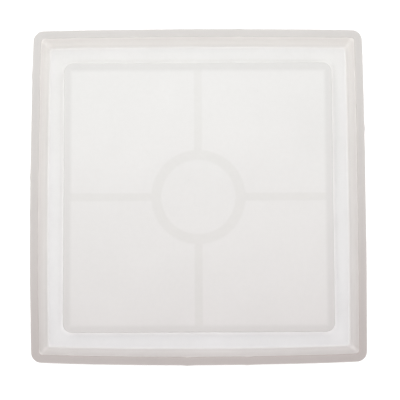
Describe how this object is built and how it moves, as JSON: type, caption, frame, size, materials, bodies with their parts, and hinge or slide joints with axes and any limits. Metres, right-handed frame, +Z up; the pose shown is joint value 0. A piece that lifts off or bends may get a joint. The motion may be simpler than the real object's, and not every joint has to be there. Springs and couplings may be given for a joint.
{
  "type": "resin tray mould",
  "caption": "Square translucent silicone mould for casting a shallow resin tray: flat rim, sloping wall, channel round a hollow plateau with a rib cross and ring under its deck.",
  "frame": {"origin": "on the table, under the middle of the mould", "axes": "+Z up, out of the open side; +X to the right side and +Y to the back side of the square"},
  "size_m": [0.32, 0.32, 0.025],
  "materials": {
    "silicone": "satin, milky translucent silicone rubber"
  },
  "bodies": {
    "root": {"outer_wall": "silicone", "channel_floor": "silicone", "plateau_skirt": "silicone", "deck": "silicone", "rib_right": "silicone", "rib_back": "silicone", "rib_left": "silicone", "rib_front": "silicone", "centre_ring": "silicone"}
  },
  "joints": []
}
